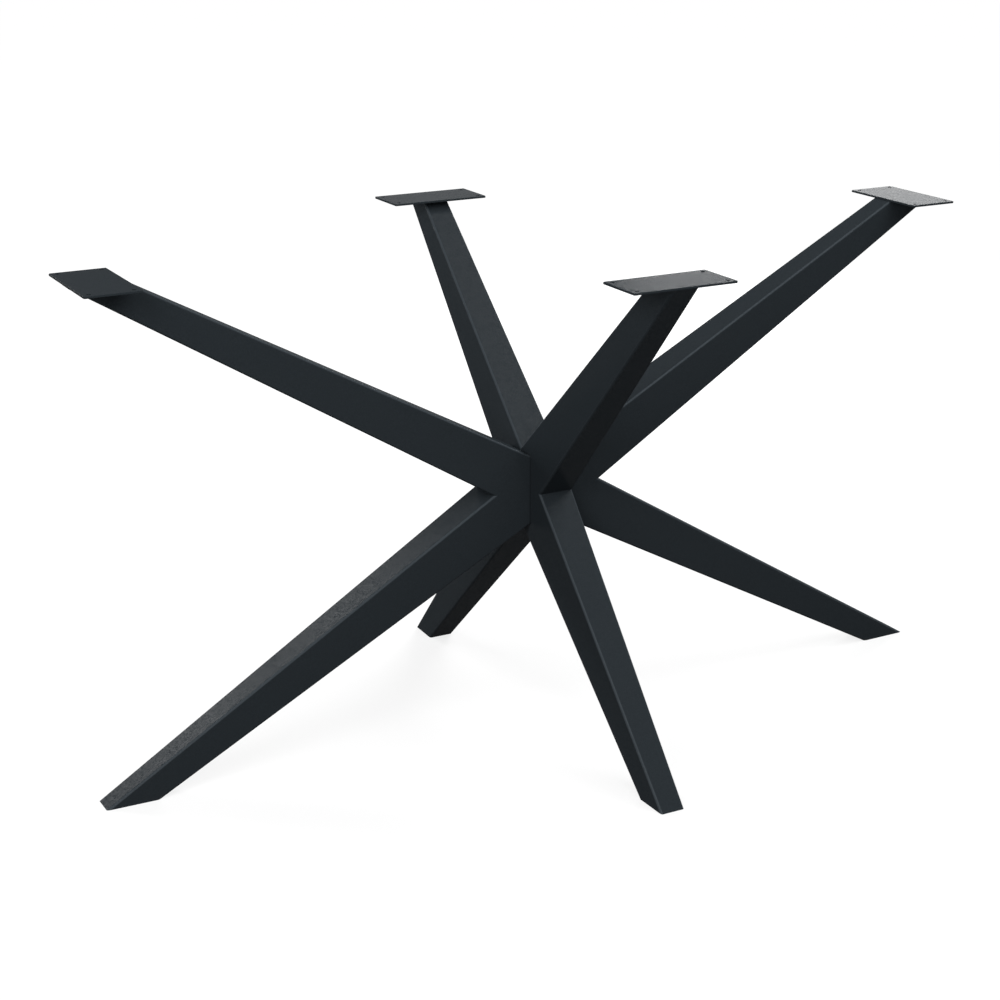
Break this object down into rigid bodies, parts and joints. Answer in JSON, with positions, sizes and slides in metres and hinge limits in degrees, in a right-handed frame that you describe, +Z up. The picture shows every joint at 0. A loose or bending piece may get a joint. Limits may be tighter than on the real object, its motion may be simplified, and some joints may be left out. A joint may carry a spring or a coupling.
{
  "type": "table base",
  "caption": "Crossed steel table base: tapered box arms rise from the floor through a central hub to drilled plates that carry a table top.",
  "frame": {"origin": "on the floor at the centre of the base", "axes": "+X along the long frame, +Y along the short frame, +Z up"},
  "size_m": [1.325, 0.75, 0.71],
  "materials": {
    "powder_coat": "fine matt powder coat, anthracite black"
  },
  "bodies": {
    "root": {"left_upper_arm": "powder_coat", "left_lower_arm": "powder_coat", "left_foot_plate": "powder_coat", "left_mounting_plate": "powder_coat", "right_upper_arm": "powder_coat", "right_lower_arm": "powder_coat", "right_foot_plate": "powder_coat", "right_mounting_plate": "powder_coat", "front_upper_arm": "powder_coat", "front_lower_arm": "powder_coat", "front_foot_plate": "powder_coat", "front_mounting_plate": "powder_coat", "back_upper_arm": "powder_coat", "back_lower_arm": "powder_coat", "back_foot_plate": "powder_coat", "back_mounting_plate": "powder_coat"}
  },
  "joints": []
}
